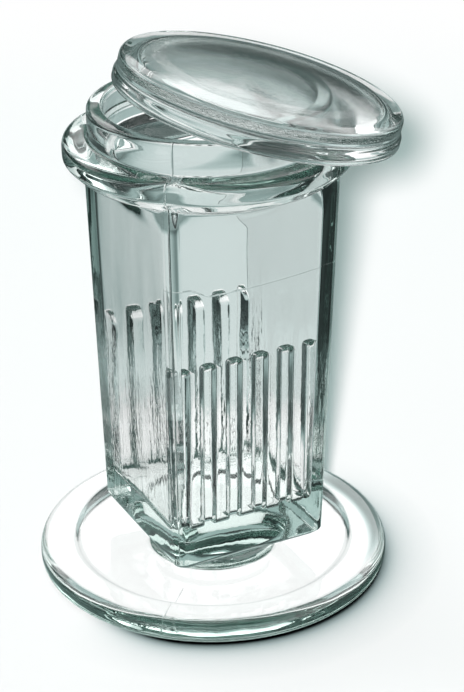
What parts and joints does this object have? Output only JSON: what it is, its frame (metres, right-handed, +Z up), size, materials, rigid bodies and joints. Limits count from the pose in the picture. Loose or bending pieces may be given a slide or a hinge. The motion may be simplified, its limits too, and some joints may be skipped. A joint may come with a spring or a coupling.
{
  "type": "slide staining jar",
  "caption": "Pressed glass slide staining jar with a square ribbed body on a round foot, and a loose round lid pushed half off its mouth.",
  "frame": {"origin": "centre of the foot's underside, on the surface the jar stands on", "axes": "+Z up along the jar's axis; the two ribbed walls face -Y and +Y, the two plain walls face -X and +X; the lid is pushed off towards +X and a little towards -Y"},
  "size_m": [0.0709, 0.07, 0.1062],
  "materials": {
    "jar_glass": "clear fire-polished pressed soda-lime glass, faint green edge tint",
    "lid_glass": "clear fire-polished pressed soda-lime glass, faint green edge tint"
  },
  "bodies": {
    "root": {"jar": "jar_glass", "lid": "lid_glass"}
  },
  "joints": []
}
